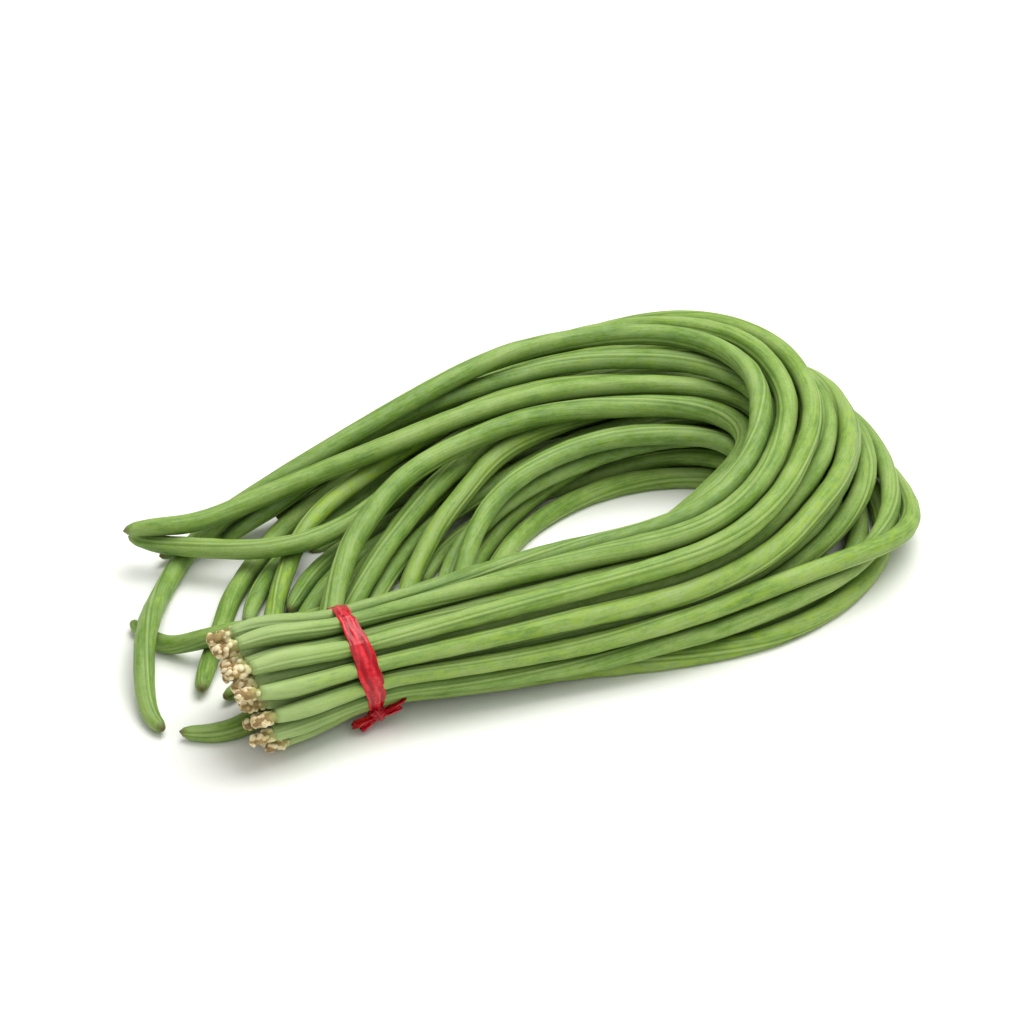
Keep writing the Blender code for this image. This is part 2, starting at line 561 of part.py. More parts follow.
def ribbon_tail(name, line, material):
    """A short flat end of ribbon that leaves the knot."""
    mesh = bmesh.new()
    rings = []
    points = [Vector(point) for point in line]
    for index, point in enumerate(points):
        ahead = (points[min(index + 1, 2)] - points[max(index - 1, 0)]).normalized()
        flat = RIBBON_FACING.cross(ahead).normalized() * RIBBON_TAIL_WIDTHS[index] / 2
        thin = ahead.cross(flat).normalized() * TAIL_THICKNESS / 2
        corners = (flat + thin, flat - thin, -flat - thin, -flat + thin)
        rings.append([mesh.verts.new((point + corner) * MM) for corner in corners])
    for ring, following in zip(rings, rings[1:]):
        for corner in range(4):
            after = (corner + 1) % 4
            mesh.faces.new((ring[corner], ring[after], following[after], following[corner]))
    mesh.faces.new(reversed(rings[0]))
    mesh.faces.new(rings[-1])
    for vert in mesh.verts:
        vert.co.z = max(vert.co.z, RIBBON_LIFT * MM)
    return new_object(name, mesh, material)


def make_tie(material):
    """Ribbon, knot and both tails, joined in one solid."""
    tie = tie_ring(material)
    joined = bpy.data.collections.new("tie_pieces")
    bpy.context.scene.collection.children.link(joined)
    pieces = [tie_knot(material)]
    for index, line in enumerate(RIBBON_TAILS):
        pieces.append(ribbon_tail("ribbon_tail_%d" % index, line, material))
    for piece in pieces:
        bpy.context.scene.collection.objects.unlink(piece)
        joined.objects.link(piece)
    union = tie.modifiers.new("join", "BOOLEAN")
    union.operation = "UNION"
    union.operand_type = "COLLECTION"
    union.collection = joined
    union.solver = "EXACT"
    graph = bpy.context.evaluated_depsgraph_get()
    mesh = bpy.data.meshes.new_from_object(tie.evaluated_get(graph))
    tie.modifiers.clear()
    tie.data = mesh
    for piece in pieces:
        bpy.data.objects.remove(piece)
    bpy.data.collections.remove(joined)
    return tie


# Whole bunch

def move_to_origin(things):
    """Put the origin under the middle of the bunch, on the surface it lies on."""
    corners = np.array([vert.co for thing in things for vert in thing.data.vertices])
    low, high = corners.min(axis=0), corners.max(axis=0)
    shift = Vector((-(low[0] + high[0]) / 2, -(low[1] + high[1]) / 2, -low[2]))
    for thing in things:
        for vert in thing.data.vertices:
            vert.co += shift
        thing.data.update()


def main():
    for thing in list(bpy.data.objects):
        bpy.data.objects.remove(thing)
    rng = np.random.default_rng(SEED)
    pod_green = new_material("pod_green", POD_GREEN, 0.5)
    stalk_tan = new_material("stalk_tan", STALK_TAN, 0.8)
    tie_red = new_material("tie_red", TIE_RED, 0.25)
    centres, radii = lay_out(rng)
    centres = push_clear(centres, radii)
    things = []
    for index, (line, sizes) in enumerate(zip(centres, radii), start=1):
        things.append(turned_tube("pod_%02d" % index, line[STALK_RINGS:], sizes[STALK_RINGS:],
                                  POD_SIDES, pod_green, pointed=True))
        things.append(make_stalk("stalk_%02d" % index, line, stalk_tan, rng))
    things.append(make_tie(tie_red))
    move_to_origin(things)
    return centres, radii


if __name__ == "__main__":
    main()
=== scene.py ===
"""Looks of a folded, tied bunch of yardlong beans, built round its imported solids.

Every pod, stalk and the tie is a plain faceted solid in the frame. Here each pod's centre line and
girth are read from its solid and dressed with seams, seed swellings and a soft skin, each stalk gets
its knobbly dried surface, and the tie becomes a crumpled ribbon pulled tight round the stems.
Lengths are in metres, and MM turns millimetres into metres.
"""

import math

import bpy
import numpy as np
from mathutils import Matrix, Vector, noise
from mathutils.kdtree import KDTree


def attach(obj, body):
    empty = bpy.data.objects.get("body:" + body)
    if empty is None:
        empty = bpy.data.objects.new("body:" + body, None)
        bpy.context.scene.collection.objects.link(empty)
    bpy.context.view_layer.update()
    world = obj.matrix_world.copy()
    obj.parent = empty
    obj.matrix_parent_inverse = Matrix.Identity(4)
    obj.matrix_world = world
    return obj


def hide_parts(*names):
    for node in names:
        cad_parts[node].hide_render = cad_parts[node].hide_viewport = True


MM = 0.001

# Plain solids: corners round a pod and round a stalk
CAD_POD_SIDES = 7
CAD_STALK_SIDES = 6

# Random draws: their seeds, and how far each wave's length may stray from its own
LINE_SEED = 100
POD_SEED = 200
STALK_SEED = 500
TIE_SEED = 900
GRAIN_SEED = 1
WAVE_STRAY = (0.8, 1.25)

# Pods: even rings, with corners closer together beside the two seams
RING_STEP = 1.5 * MM
LINE_EASE = 5.5 * MM
GIRTH_EASE = 4.0 * MM
SEAM_ANGLES = (0, 5, 10, 15, 20, 28, 40, 56, 74, 92, 110, 126, 140, 152, 160, 165, 170, 175, 180)
SEAM_WIDTH = math.radians(7)
GROOVE_PLACE = math.radians(15)
GROOVE_WIDTH = math.radians(5)
FRONT_SEAM = 0.20 * MM
BACK_SEAM = 0.12 * MM
GROOVE_DEPTH = 0.16 * MM
SEAM_TWIST = math.radians(75)
TWIST_WAVES = (260 * MM, 410 * MM)
OVALNESS = 0.05
UNEVENNESS = 0.022
GIRTH_WAVES = (33 * MM, 51 * MM, 78 * MM)
TIP_BLUNTNESS = 0.32
TIP_REACH = 5.0 * MM
STEM_CAP = 0.6 * MM
REST_HEIGHT = 0.02 * MM

# Seeds: where the swellings come, as shares of their spacing, and how much of one shows on a seam
SEED_SPACING = 12.5 * MM
FIRST_SEED = (0.8, 1.6)
SEED_STEPS = (0.75, 1.3)
SEED_SIZES = (0.35, 1.0)
SEED_LENGTH = 0.30 * SEED_SPACING
SEED_SWELL = 0.20 * MM
SEED_FADE = 25.0 * MM
SEED_ON_SEAM = 0.35

# Pods' colour: how far the painted shade between neighbouring pods, the pale stem end and the brown
# tip reach
CROWDING_REACH = 1.45 * MM
STEM_PALE_REACH = 26.0 * MM
NIB_REACH = 1.8 * MM
BACK_SEAM_PALENESS = 0.6
PATTERN_SHIFT = 4000

# Stalks: dried, popcorn-like knobs on a short core that is sunk into the pod's end
STALK_RINGS = 46
STALK_SIDES = 34
STALK_SUNK = 0.8 * MM
STALK_CORE = 1.45 * MM
STALK_NECK = 0.86
STALK_BELLY = 0.24
STALK_ROUND_END = 0.16
STALK_POINT = 0.05
KNOB_COUNT = 22
KNOB_PLACES = (0.16, 0.98)
KNOB_REACH = (0.65 * MM, 1.25 * MM)
KNOB_RISE = (0.75, 1.05)
END_KNOB = 0.6
GRAIN_HEIGHT = 0.10 * MM
GRAIN_SIZE = 0.55 * MM

# Tie: the ribbon's axis and how it is drawn round the stems, angles from the top towards the front.
# Each of its widths, in millimetres, comes after its angle in degrees
TIE_AXIS = Vector((1.0, 0.15, 0.18)).normalized()
TIED_REACH = 30.0 * MM
OUTLINE_NORMALS = 720
OUTLINE_DEPTHS = 9
RIBBON_STEPS = 340
RIBBON_ROWS = 25
RIBBON_DEPTH = 4.4 * MM
RIBBON_THICKNESS = 0.30 * MM
RIBBON_CLEARANCE = 0.25 * MM
RIBBON_WIDTHS = ((0, 5.2), (25, 6.0), (50, 7.4), (80, 7.8), (105, 6.2), (125, 5.0), (140, 3.6),
                 (165, 4.8), (230, 5.8), (300, 5.6), (360, 5.2))
RIBBON_CUP = 0.25 * MM
EDGE_WANDER = 0.35 * MM
EDGE_WAVES = (0.9, 1.6, 0.4)

# Creases: a broad wave with a finer one across it, each with how far it runs, in radians, from a
# strip's middle to its edge or how often it comes round the knot, and with how it slants
CREASE_HEIGHT = 0.17 * MM
BROAD_CREASE = 0.6
FINE_CREASE = 0.4
TURN_CREASES = (5.2, 10.5)
TURN_START = 1.0
CREASE_SLANT = 1.6
SLANT_WAVES = (2.1, 1.1)
FINE_SLANT = 1.7
FINE_SWAY = 3.0

# Knot: a squashed lump of ribbon low at the front, with a turn of ribbon round its waist
KNOT_ANGLE = math.radians(138)
KNOT_REACH = 1.7 * MM
KNOT_RADII = (3.3 * MM, 2.7 * MM, 2.3 * MM)
KNOT_STEPS = 56
KNOT_CREASE = 0.10
KNOT_CREASES = (5, 9)
KNOT_SLANTS = (2.5, 4)
WAIST_GIRTH = (0.95 * MM, 0.55 * MM)
WAIST_SIDES = 20
WAIST_CREASE = 0.2
WAIST_CREASES = 4
WAIST_LEAN = 0.9 * MM

# Ribbon ends: (towards the strand, frontwards, up) from the knot, and their widths, in millimetres
RIBBON_ENDS = (
    (((0.0, 0.0, 0.0), (-3.0, 1.0, 0.2), (-6.0, 1.5, 0.3), (-9.0, 1.6, 0.0)), 3.2),
    (((0.0, 0.0, 0.0), (-2.0, 1.5, -0.6), (-4.0, 2.3, -1.0), (-6.4, 2.6, -1.6)), 2.4),
    (((0.0, 0.0, 0.0), (3.0, 0.8, 0.4), (6.0, 1.0, 1.2), (9.6, 0.6, 2.2)), 3.0),
    (((0.0, 0.0, 0.0), (2.4, 1.6, -0.3), (4.8, 2.3, 0.1), (7.4, 2.2, 0.6)), 2.2),
)
END_STEPS = 40
END_ROWS = 9
END_START = 0.55
END_WIDENING = 0.65
END_POINT = 1.04
END_NARROWING = 0.10
END_LEAST = 0.2
END_RUMPLE = 0.35 * MM
END_CREASES = (4.4, 8.3)
END_SLANTS = (5, 9)
FRAY_LENGTH = 0.9 * MM
FRAY_START = 0.93
FRAY_TEETH = 9.0

# Camera: it looks at AIM from the photograph's side
AIM = Vector((-5.4, -5.7, 27.0)) * MM
AZIMUTH = math.radians(-14)
ELEVATION = math.radians(32)
DISTANCE = 1.2
LENS = 121.2
SENSOR = 36.0

# Studio: the floor's half width, soft lights with their place, size and power, and an even glow
FLOOR_HALF = 3.0
KEY_LIGHT = ((0.32, 0.18, 1.08), 1.1, 17.0)
FRONT_LIGHT = ((0.05, -0.90, 0.90), 1.2, 4.5)
GLOW = 0.48

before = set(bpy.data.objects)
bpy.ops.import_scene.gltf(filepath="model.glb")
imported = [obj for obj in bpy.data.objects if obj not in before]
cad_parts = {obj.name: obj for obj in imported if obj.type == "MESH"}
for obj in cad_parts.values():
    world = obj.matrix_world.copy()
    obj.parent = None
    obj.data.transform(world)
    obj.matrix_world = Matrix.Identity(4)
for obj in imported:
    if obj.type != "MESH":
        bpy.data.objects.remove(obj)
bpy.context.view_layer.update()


# Reading the plain solids

def corners_and_neighbours(node):
    """Corners of a solid without doubles, and the set of corners that share an edge with each."""
    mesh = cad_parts[node].data
    spots = np.empty(len(mesh.vertices) * 3, np.float32)
    mesh.vertices.foreach_get("co", spots)
    corners, index = np.unique(spots.reshape(-1, 3), axis=0, return_inverse=True)
    index = index.ravel()
    neighbours = [set() for _ in corners]
    for edge in mesh.edges:
        first, second = (index[corner] for corner in edge.vertices)
        neighbours[first].add(second)
        neighbours[second].add(first)
    return corners.astype(float), neighbours


def pod_rings(node):
    """Middle and girth of each ring of a pod's solid, from its stem end to its tip."""
    corners, neighbours = corners_and_neighbours(node)

    def unevenness(corner):
        reach = np.linalg.norm(corners[list(neighbours[corner])] - corners[corner], axis=1)
        return reach.std() / reach.mean()

    pointed = [c for c in range(len(corners)) if len(neighbours[c]) == CAD_POD_SIDES]
    tip = min(pointed, key=unevenness)
    middles = [corners[tip]]
    girths = [0.0]
    passed = {tip}
    ring = neighbours[tip]
    while ring:
        spots = corners[list(ring)]
        middles.append(spots.mean(axis=0))
        girths.append(np.linalg.norm(spots - spots.mean(axis=0), axis=1).mean())
        passed |= ring
        ring = set().union(*(neighbours[corner] for corner in ring)) - passed
    return np.array(middles[::-1]), np.array(girths[::-1])


# Lines

def distances_along(points):
    """Distance along a line of points, from its first one to each."""
    steps = np.linalg.norm(np.diff(points, axis=0), axis=1)
    return np.concatenate(([0.0], np.cumsum(steps)))


def eased(values, reach):
    """Rows of values, RING_STEP apart, each averaged with those within about the reach."""
    span = int(3 * reach / RING_STEP)
    offsets = np.arange(-span, span + 1) * RING_STEP
    weights = np.exp(-0.5 * (offsets / reach) ** 2)
    weights /= weights.sum()
    before = 2 * values[0] - values[1:span + 1][::-1]
    after = 2 * values[-1] - values[-span - 1:-1][::-1]
    padded = np.concatenate((before, values, after))
    return np.stack([np.convolve(column, weights, mode="valid") for column in padded.T], axis=1)


def turning_frames(line):
    """Directions square to a line at each of its points, turned no more than the line turns."""
    ahead = np.gradient(line, axis=0)
    ahead /= np.linalg.norm(ahead, axis=1)[:, None]
    side = Vector((0.0, 0.0, 1.0)).cross(Vector(ahead[0])).normalized()
    sides = []
    for heading in ahead:
        heading = Vector(heading)
        side = (side - side.dot(heading) * heading).normalized()
        sides.append(side.copy())
    sides = np.array(sides)
    return ahead, sides, np.cross(ahead, sides)


# Meshes

def tube_parts(rings, start, end):
    """Corners and faces of a closed tube through rings, with one corner closing each end."""
    count, sides, _ = rings.shape
    corners = np.vstack((rings.reshape(-1, 3), [start], [end]))
    ring = np.arange(count - 1)[:, None] * sides
    side = np.arange(sides)[None, :]
    after = (side + 1) % sides
    quads = np.stack((ring + side, ring + after, ring + sides + after, ring + sides + side), axis=-1)
    last = (count - 1) * sides
    around = np.arange(sides)
    turned = (around + 1) % sides
    first_cap = [(count * sides, b, a) for a, b in zip(around, turned)]
    last_cap = [(count * sides + 1, last + a, last + b) for a, b in zip(around, turned)]
    return corners, quads.reshape(-1, 4).tolist() + first_cap + last_cap


def ring_parts(loops):
    """Corners and faces of a band that closes on itself, from its loops of corners."""
    count, sides, _ = loops.shape
    step = np.arange(count)[:, None]
    side = np.arange(sides)[None, :]
    after, beside = (step + 1) % count, (side + 1) % sides
    quads = np.stack((step * sides + side, step * sides + beside, after * sides + beside,
                      after * sides + side), axis=-1)
    return loops.reshape(-1, 3), quads.reshape(-1, 4).tolist()


def smooth_mesh(name, corners, faces):
    """A smooth mesh of corners and faces, flattened where it would sink into the surface."""
    corners = np.array(corners)
    corners[:, 2] = np.maximum(corners[:, 2], REST_HEIGHT)
    mesh = bpy.data.meshes.new(name)
    mesh.from_pydata(corners.tolist(), [], faces)
    mesh.shade_smooth()
    return mesh


def put_attribute(mesh, name, values):
    """Stores a number or a triple for each corner, for the materials to read."""
    values = np.asarray(values, np.float32)
    kind, field = ("FLOAT", "value") if values.ndim == 1 else ("FLOAT_VECTOR", "vector")
    mesh.attributes.new(name, kind, "POINT").data.foreach_set(field, values.ravel())


def put_per_ring(mesh, name, values, sides, at_start, at_end):
    """Stores one number for all corners of each ring of a tube, and one for each end's corner."""
    put_attribute(mesh, name, np.concatenate((np.repeat(values, sides), [at_start, at_end])))


def put_per_side(mesh, name, values, rings):
    """Stores one number for each side of a tube, the same in every ring, and 0 at the ends."""
    put_attribute(mesh, name, np.concatenate((np.tile(values, rings), [0, 0])))


def place_piece(name, mesh, material, node):
    """Puts a mesh in the scene in place of a solid."""
    mesh.materials.append(material)
    piece = bpy.data.objects.new(name, mesh)
    bpy.context.scene.collection.objects.link(piece)
    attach(piece, "root")
    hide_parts(node)


# Pods

def wander(along, wavelengths, rng):
    """A smooth random line between about -1 and 1, a sum of waves of the given lengths."""
    total = np.zeros_like(along)
    for length in wavelengths:
        phase = rng.uniform(0, 2 * math.pi)
        total += np.sin(2 * math.pi * along / (length * rng.uniform(*WAVE_STRAY)) + phase)
    return total / len(wavelengths)


def seed_swellings(along, rng):
    """How far each ring swells over the seeds inside, from 0 to about 1."""
    places = []
    place = rng.uniform(*FIRST_SEED) * SEED_SPACING
    while place < along[-1]:
        places.append(place)
        place += SEED_SPACING * rng.uniform(*SEED_STEPS)
    swell = np.zeros_like(along)
    for place in places:
        swell += rng.uniform(*SEED_SIZES) * np.exp(-((along - place) / SEED_LENGTH) ** 2)
    ends = np.clip(np.minimum(along, along[-1] - along) / SEED_FADE, 0.0, 1.0)
    return swell * ends


def seam_angles():
    """Angles of a pod's corners round it, the front seam at 0 and the back seam half way round."""
    half = [math.radians(angle) for angle in SEAM_ANGLES]
    return np.array(half + [-angle for angle in half[-2:0:-1]])


def pod_line(number, rng):
    """Even distances along a pod, its middle line and its girth there, stem end first."""
    middles, girths = pod_rings("pod_%02d" % number)
    along = distances_along(middles)
    count = int(along[-1] / RING_STEP)
    even = np.linspace(0.0, along[-1], count)
    rows = np.stack([np.interp(even, along, middles[:, axis]) for axis in range(3)], axis=1)
    line = eased(rows, LINE_EASE)
    line[0], line[-1] = middles[0], middles[-1]
    plain = np.interp(even, along, girths)
    soft = eased(plain[:, None], GIRTH_EASE)[:, 0]
    before_tip = np.clip((even[-1] - even) / (3 * GIRTH_EASE), 0.0, 1.0)
    girth = plain + (soft - plain) * before_tip
    girth *= 1 + TIP_BLUNTNESS * np.exp(-((even[-1] - even) / TIP_REACH) ** 2)
    girth *= 1 + UNEVENNESS * wander(even, GIRTH_WAVES, rng)
    return even, line, np.maximum(girth, 0.0)


def crowding(number, lines, spots):
    """How close each spot on a pod's skin lies to the other pods, from 0 to 1 where they touch, for
    the painted shade between pods.
    """
    others = [(line, girth) for index, (_, line, girth) in lines.items() if index != number]
    middles = np.vstack([line for line, _ in others])
    girths = np.concatenate([girth for _, girth in others])
    tree = KDTree(len(middles))
    for index, middle in enumerate(middles):
        tree.insert(middle, index)
    tree.balance()
    gaps = np.empty(len(spots))
    for index, spot in enumerate(spots):
        _, nearest, distance = tree.find(spot)
        gaps[index] = distance - girths[nearest]
    return np.exp(-np.maximum(gaps, 0.0) / CROWDING_REACH)


def make_pod(number, lines, material):
    """One pod, with its skin's swellings and seams, in place of its plain solid."""
    node = "pod_%02d" % number
    rng = np.random.default_rng(POD_SEED + number)
    even, line, girth = lines[number]
    swell = seed_swellings(even, rng)
    twist = rng.uniform(0, 2 * math.pi) + SEAM_TWIST * wander(even, TWIST_WAVES, rng)

    ahead, side, up = turning_frames(line)
    angle = seam_angles()
    turned = angle[None, :] + twist[:, None]
    front = np.exp(-(angle / SEAM_WIDTH) ** 2)
    back = np.exp(-((np.abs(angle) - math.pi) / SEAM_WIDTH) ** 2)
    from_seam = np.minimum(np.abs(angle), math.pi - np.abs(angle))
    groove = np.exp(-((from_seam - GROOVE_PLACE) / GROOVE_WIDTH) ** 2)
    slim = girth[:, None] / girth.max()
    reach = girth[:, None] * (1 + OVALNESS * slim * -np.cos(2 * angle))
    reach += slim * (FRONT_SEAM * front + BACK_SEAM * back - GROOVE_DEPTH * groove)
    reach += SEED_SWELL * swell[:, None] * (SEED_ON_SEAM + (1 - SEED_ON_SEAM) * np.sin(angle) ** 2)
    spokes = np.cos(turned)[..., None] * side[:, None] + np.sin(turned)[..., None] * up[:, None]
    rings = (line[:, None] + reach[..., None] * spokes)[:-1]
    mesh = smooth_mesh(node + "_skin", *tube_parts(rings, line[0] - ahead[0] * STEM_CAP, line[-1]))

    sides = len(angle)
    shift = rng.uniform(0, PATTERN_SHIFT)
    place = np.empty(rings.shape)
    place[..., 0] = reach[:-1] * np.cos(angle) / MM
    place[..., 1] = reach[:-1] * np.sin(angle) / MM
    place[..., 2] = even[:-1, None] / MM + shift
    ends = [[0, 0, shift], [0, 0, even[-1] / MM + shift]]
    put_attribute(mesh, "pod_place", np.vstack((place.reshape(-1, 3), ends)))
    put_per_side(mesh, "seam", front + BACK_SEAM_PALENESS * back, len(rings))
    put_per_side(mesh, "groove", groove, len(rings))
    put_per_ring(mesh, "stem", np.exp(-even[:-1] / STEM_PALE_REACH), sides, 1, 0)
    put_per_ring(mesh, "nib", np.exp(-((even[-1] - even[:-1]) / NIB_REACH) ** 2), sides, 0, 1)
    put_per_ring(mesh, "swell", swell[:-1], sides, 0, 0)
    put_attribute(mesh, "tone", np.full(len(mesh.vertices), rng.uniform(0, 1)))
    # Painted shade: how close the other pods lie, for the skin to be darkened there
    crowd = crowding(number, lines, rings.reshape(-1, 3))
    put_attribute(mesh, "crowd", np.concatenate((crowd, [0, 0])))
    place_piece(node + "_skin", mesh, material, node)


# Stalks

def stalk_line(node, pod_end):
    """Middle line of a stalk, from inside the pod's end to its own far end."""
    corners, _ = corners_and_neighbours(node)
    outward = corners.mean(axis=0) - pod_end
    outward /= np.linalg.norm(outward)
    order = np.argsort((corners - pod_end) @ outward)
    rings = corners[order].reshape(-1, CAD_STALK_SIDES, 3).mean(axis=1)
    return np.vstack((pod_end - outward * STALK_SUNK, rings))


def make_stalk(number, pod_end, material):
    """The knobbly dried stalk on one pod's stem end, in place of its plain solid."""
    node = "stalk_%02d" % number
    rng = np.random.default_rng(STALK_SEED + number)
    points = stalk_line(node, pod_end)
    along = distances_along(points)
    share = np.linspace(0.0, 1.0, STALK_RINGS)
    bend = [np.polyfit(along / along[-1], points[:, axis], 2) for axis in range(3)]
    line = np.stack([np.polyval(fit, share) for fit in bend], axis=1)
    length = along[-1]
    _, side, up = turning_frames(line)
    angle = np.linspace(0.0, 2 * math.pi, STALK_SIDES, endpoint=False)

    into_end = np.maximum(share - 1 + STALK_ROUND_END, 0) / STALK_ROUND_END
    roundness = np.sqrt(np.clip(1 - into_end ** 2, 0.0, 1.0))
    knob = np.zeros((STALK_RINGS, STALK_SIDES))
    for _ in range(KNOB_COUNT):
        place = rng.uniform(*KNOB_PLACES)
        facing = rng.uniform(0, 2 * math.pi)
        reach = rng.uniform(*KNOB_REACH)
        rise = rng.uniform(*KNOB_RISE)
        over = (share[:, None] - place) * length
        apart = np.abs((angle[None, :] - facing + math.pi) % (2 * math.pi) - math.pi)
        round_it = apart * (STALK_CORE + reach / 2)
        dome = np.sqrt(np.clip(1 - (over ** 2 + round_it ** 2) / reach ** 2, 0.0, 1.0))
        knob = np.maximum(knob, dome * reach * rise)
    core = STALK_CORE * (STALK_NECK + STALK_BELLY * np.sin(math.pi * share))
    radius = (core[:, None] + knob) * np.maximum(roundness, STALK_POINT)[:, None]
    spokes = np.cos(angle)[None, :, None] * side[:, None] + np.sin(angle)[None, :, None] * up[:, None]
    rings = line[:, None] + radius[..., None] * spokes
    for spot in rings.reshape(-1, 3):
        spot += np.array(noise.noise_vector(Vector(spot) / GRAIN_SIZE)) * GRAIN_HEIGHT
    mesh = smooth_mesh(node + "_skin", *tube_parts(rings[:-1], line[0], line[-1]))

    height = knob[:-1].ravel() / KNOB_REACH[1]
    put_attribute(mesh, "knob", np.concatenate((height, [0.0, END_KNOB])))
    put_per_ring(mesh, "along", share[:-1], STALK_SIDES, 0, 1)
    place_piece(node + "_skin", mesh, material, node)


# Tie

class TieFrame:
    """Middle of the tie, its axis, and the up and front directions square to the axis."""

    def __init__(self, stem_lines):
        corners, _ = corners_and_neighbours("tie")
        self.axis = np.array(TIE_AXIS)
        front = -np.cross((0.0, 0.0, 1.0), self.axis)
        self.front = front / np.linalg.norm(front)
        self.up = -np.cross(self.axis, self.front)
        depth = np.median(corners @ self.axis)
        crossings = [self.crossing(line, girth, depth)[0] for line, girth in stem_lines]
        self.middle = np.mean(crossings, axis=0)

    def crossing(self, line, girth, depth):
        """Where a pod first crosses a plane square to the axis, and its girth there."""
        past = line @ self.axis - depth
        step = np.nonzero((past[:-1] <= 0) != (past[1:] <= 0))[0][0]
        share = past[step] / (past[step] - past[step + 1])
        spot = line[step] + (line[step + 1] - line[step]) * share
        return spot, girth[step]

    def place(self, angle, reach, depth):
        """Spots at angles from the top towards the front, at a reach and a depth along the axis."""
        spoke = np.cos(angle)[..., None] * self.up + np.sin(angle)[..., None] * self.front
        outward = spoke * np.asarray(reach)[..., None]
        return self.middle + outward + self.axis * np.asarray(depth)[..., None]

    def knot_directions(self):
        """At the knot, the direction out of the bunch and the one round its stems."""
        outward = math.cos(KNOT_ANGLE) * self.up + math.sin(KNOT_ANGLE) * self.front
        return outward, np.cross(self.axis, outward)


def stem_outline(tie, stem_lines, depth, angles):
    """Reach of a band drawn tight round the pods, at each angle, at a depth from the tie's middle."""
    at = tie.middle @ tie.axis + depth
    circles = []
    for line, girth in stem_lines:
        spot, radius = tie.crossing(line, girth, at)
        offset = spot - tie.middle
        if np.linalg.norm(offset) < TIED_REACH:
            circles.append((offset @ tie.up, offset @ tie.front, radius))
    circles = np.array(circles)
    facing = np.linspace(0, 2 * math.pi, OUTLINE_NORMALS, endpoint=False)
    normals = np.stack((np.cos(facing), np.sin(facing)), axis=1)
    furthest = (circles[:, :2] @ normals.T + circles[:, 2:]).argmax(axis=0)
    spots = circles[furthest, :2] + normals * circles[furthest, 2:]
    polar = np.arctan2(spots[:, 1], spots[:, 0]) % (2 * math.pi)
    order = np.argsort(polar)
    reach = np.linalg.norm(spots, axis=1)
    return np.interp(angles, polar[order], reach[order], period=2 * math.pi)


def crossed_waves(broad, fine):
    """Crease heights, from -1 to 1, of a broad wave with a finer one across it."""
    return BROAD_CREASE * np.sin(broad) + FINE_CREASE * np.sin(fine)


def ribbon_turn(tie, stem_lines, rng):
    """Corners, faces and crease heights of the ribbon's turn round the stems."""
    angles = np.linspace(0, 2 * math.pi, RIBBON_STEPS, endpoint=False)
    depths = np.linspace(-RIBBON_DEPTH, RIBBON_DEPTH, OUTLINE_DEPTHS)
    outlines = np.stack([stem_outline(tie, stem_lines, depth, angles) for depth in depths])
    marks, widths = np.array(RIBBON_WIDTHS).T
    half = np.interp(np.degrees(angles), marks, widths) * MM / 2
    across = np.linspace(-1, 1, RIBBON_ROWS)
    edge = EDGE_WANDER * wander(angles, EDGE_WAVES, rng)
    depth = across[:, None] * half + edge
    reach = np.stack([np.interp(depth[:, step], depths, outlines[:, step])
                      for step in range(RIBBON_STEPS)], axis=1)
    slant = CREASE_SLANT * wander(angles, SLANT_WAVES, rng)
    broad = TURN_CREASES[0] * across[:, None] + slant + TURN_START
    fine = TURN_CREASES[1] * across[:, None] - FINE_SLANT * slant + FINE_SWAY * np.sin(2 * angles)
    crease = crossed_waves(broad, fine)
    reach = reach + RIBBON_CLEARANCE + CREASE_HEIGHT * (crease + 1)
    reach -= RIBBON_CUP * across[:, None] ** 6
    outer = tie.place(angles[None, :], reach, depth)
    inner = tie.place(angles[None, :], reach - RIBBON_THICKNESS, depth)
    loops = np.concatenate((outer, inner[::-1])).transpose(1, 0, 2)
    creases = np.concatenate((crease, crease[::-1])).T
    return ring_parts(loops), creases.ravel()


def knot_lump(tie, middle):
    """Corners, faces and crease heights of the knot's squashed, creased lump."""
    turns = np.linspace(0, 2 * math.pi, KNOT_STEPS, endpoint=False)
    tilts = np.linspace(0, math.pi, KNOT_STEPS // 2 + 2)[1:-1]
    tilt, turn = np.meshgrid(tilts, turns, indexing="ij")
    broad = KNOT_CREASES[0] * turn + KNOT_SLANTS[0] * np.cos(tilt)
    fine = KNOT_CREASES[1] * turn - KNOT_SLANTS[1] * np.cos(tilt)
    crease = crossed_waves(broad, fine)
    reach = 1 + KNOT_CREASE * crease * np.sin(tilt)
    outward, beside = tie.knot_directions()
    long, wide, deep = KNOT_RADII
    rings = (middle + (reach * np.cos(tilt) * long)[..., None] * tie.axis
             + (reach * np.sin(tilt) * np.cos(turn) * wide)[..., None] * beside
             + (reach * np.sin(tilt) * np.sin(turn) * deep)[..., None] * outward)
    parts = tube_parts(rings, middle + long * tie.axis, middle - long * tie.axis)
    return parts, np.concatenate((crease.ravel(), [0.0, 0.0]))


def knot_waist(tie, middle):
    """Corners, faces and crease heights of the turn of ribbon round the knot's waist."""
    turns = np.linspace(0, 2 * math.pi, KNOT_STEPS, endpoint=False)
    around = np.linspace(0, 2 * math.pi, WAIST_SIDES, endpoint=False)
    outward, beside = tie.knot_directions()
    spokes = np.cos(turns)[:, None] * beside + np.sin(turns)[:, None] * outward
    _, wide, deep = KNOT_RADII
    size = np.linalg.norm(np.stack((np.cos(turns) * wide, np.sin(turns) * deep), axis=1), axis=1)
    broad, thick = WAIST_GIRTH
    crease = np.sin(WAIST_CREASES * around[None, :] + turns[:, None])
    reach = size[:, None] + thick * np.cos(around)[None, :] * (1 + WAIST_CREASE * crease)
    along = broad * np.sin(around)[None, :] + WAIST_LEAN * np.sin(turns)[:, None]
    loops = middle + reach[..., None] * spokes[:, None] + along[..., None] * tie.axis
    return ring_parts(loops), crease.ravel()


